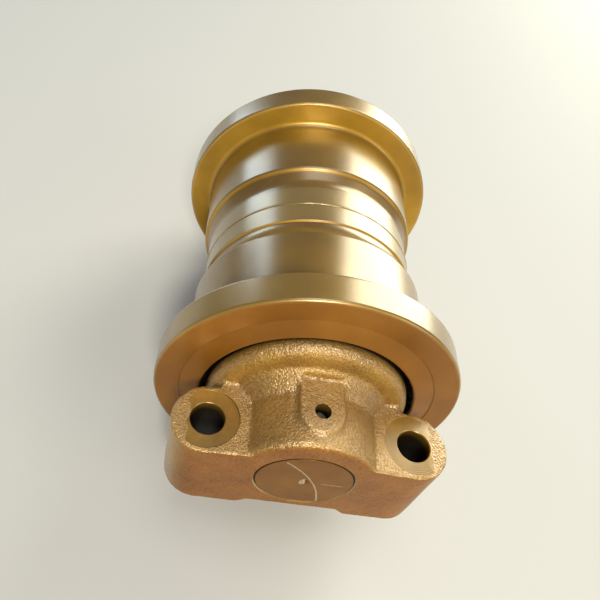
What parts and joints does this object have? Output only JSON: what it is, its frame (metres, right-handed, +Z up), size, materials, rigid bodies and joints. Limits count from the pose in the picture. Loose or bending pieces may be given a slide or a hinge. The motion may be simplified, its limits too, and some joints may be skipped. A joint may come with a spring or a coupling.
{
  "type": "track roller",
  "caption": "Double-flange lower track roller: a flanged shell spins on a fixed shaft held by two cast end collars with bolt lugs and face seals.",
  "frame": {"origin": "on the shaft axis at the middle of the roller's length, which is also the centre of the whole part's box", "axes": "+Y along the shaft, +Z up: away from the mounting pads, towards the bolt-head seats; X along the bolt lugs"},
  "size_m": [0.165, 0.272, 0.165],
  "materials": {
    "shell_paint": "satin bronze-gold paint over a turned forging",
    "collar_paint": "satin bronze-gold paint over a rough casting",
    "shaft_steel": "ground steel, painted over at its two visible ends",
    "bush_bronze": "machined bronze lining",
    "seal_iron": "lapped hard iron",
    "seal_rubber": "matt nitrile rubber",
    "pin_steel": "dark oiled steel"
  },
  "bodies": {
    "mount": {"shaft": "shaft_steel", "oil_plug": "pin_steel", "collar_front": "collar_paint", "lock_pin_front": "pin_steel", "seal_ring_collar_front": "seal_iron", "toric_collar_front": "seal_rubber", "shaft_ring_front": "seal_rubber", "collar_rear": "collar_paint", "lock_pin_rear": "pin_steel", "seal_ring_collar_rear": "seal_iron", "toric_collar_rear": "seal_rubber", "shaft_ring_rear": "seal_rubber"},
    "roller": {"weld_seam": "shell_paint", "shell_half_front": "shell_paint", "bush_front": "bush_bronze", "seal_ring_shell_front": "seal_iron", "toric_shell_front": "seal_rubber", "shell_half_rear": "shell_paint", "bush_rear": "bush_bronze", "seal_ring_shell_rear": "seal_iron", "toric_shell_rear": "seal_rubber"}
  },
  "joints": [
    {"name": "roller_spin", "type": "hinge", "parent": "mount", "child": "roller", "pos_m": [0, 0, 0], "axis": [0, 1, 0], "continuous": true}
  ]
}
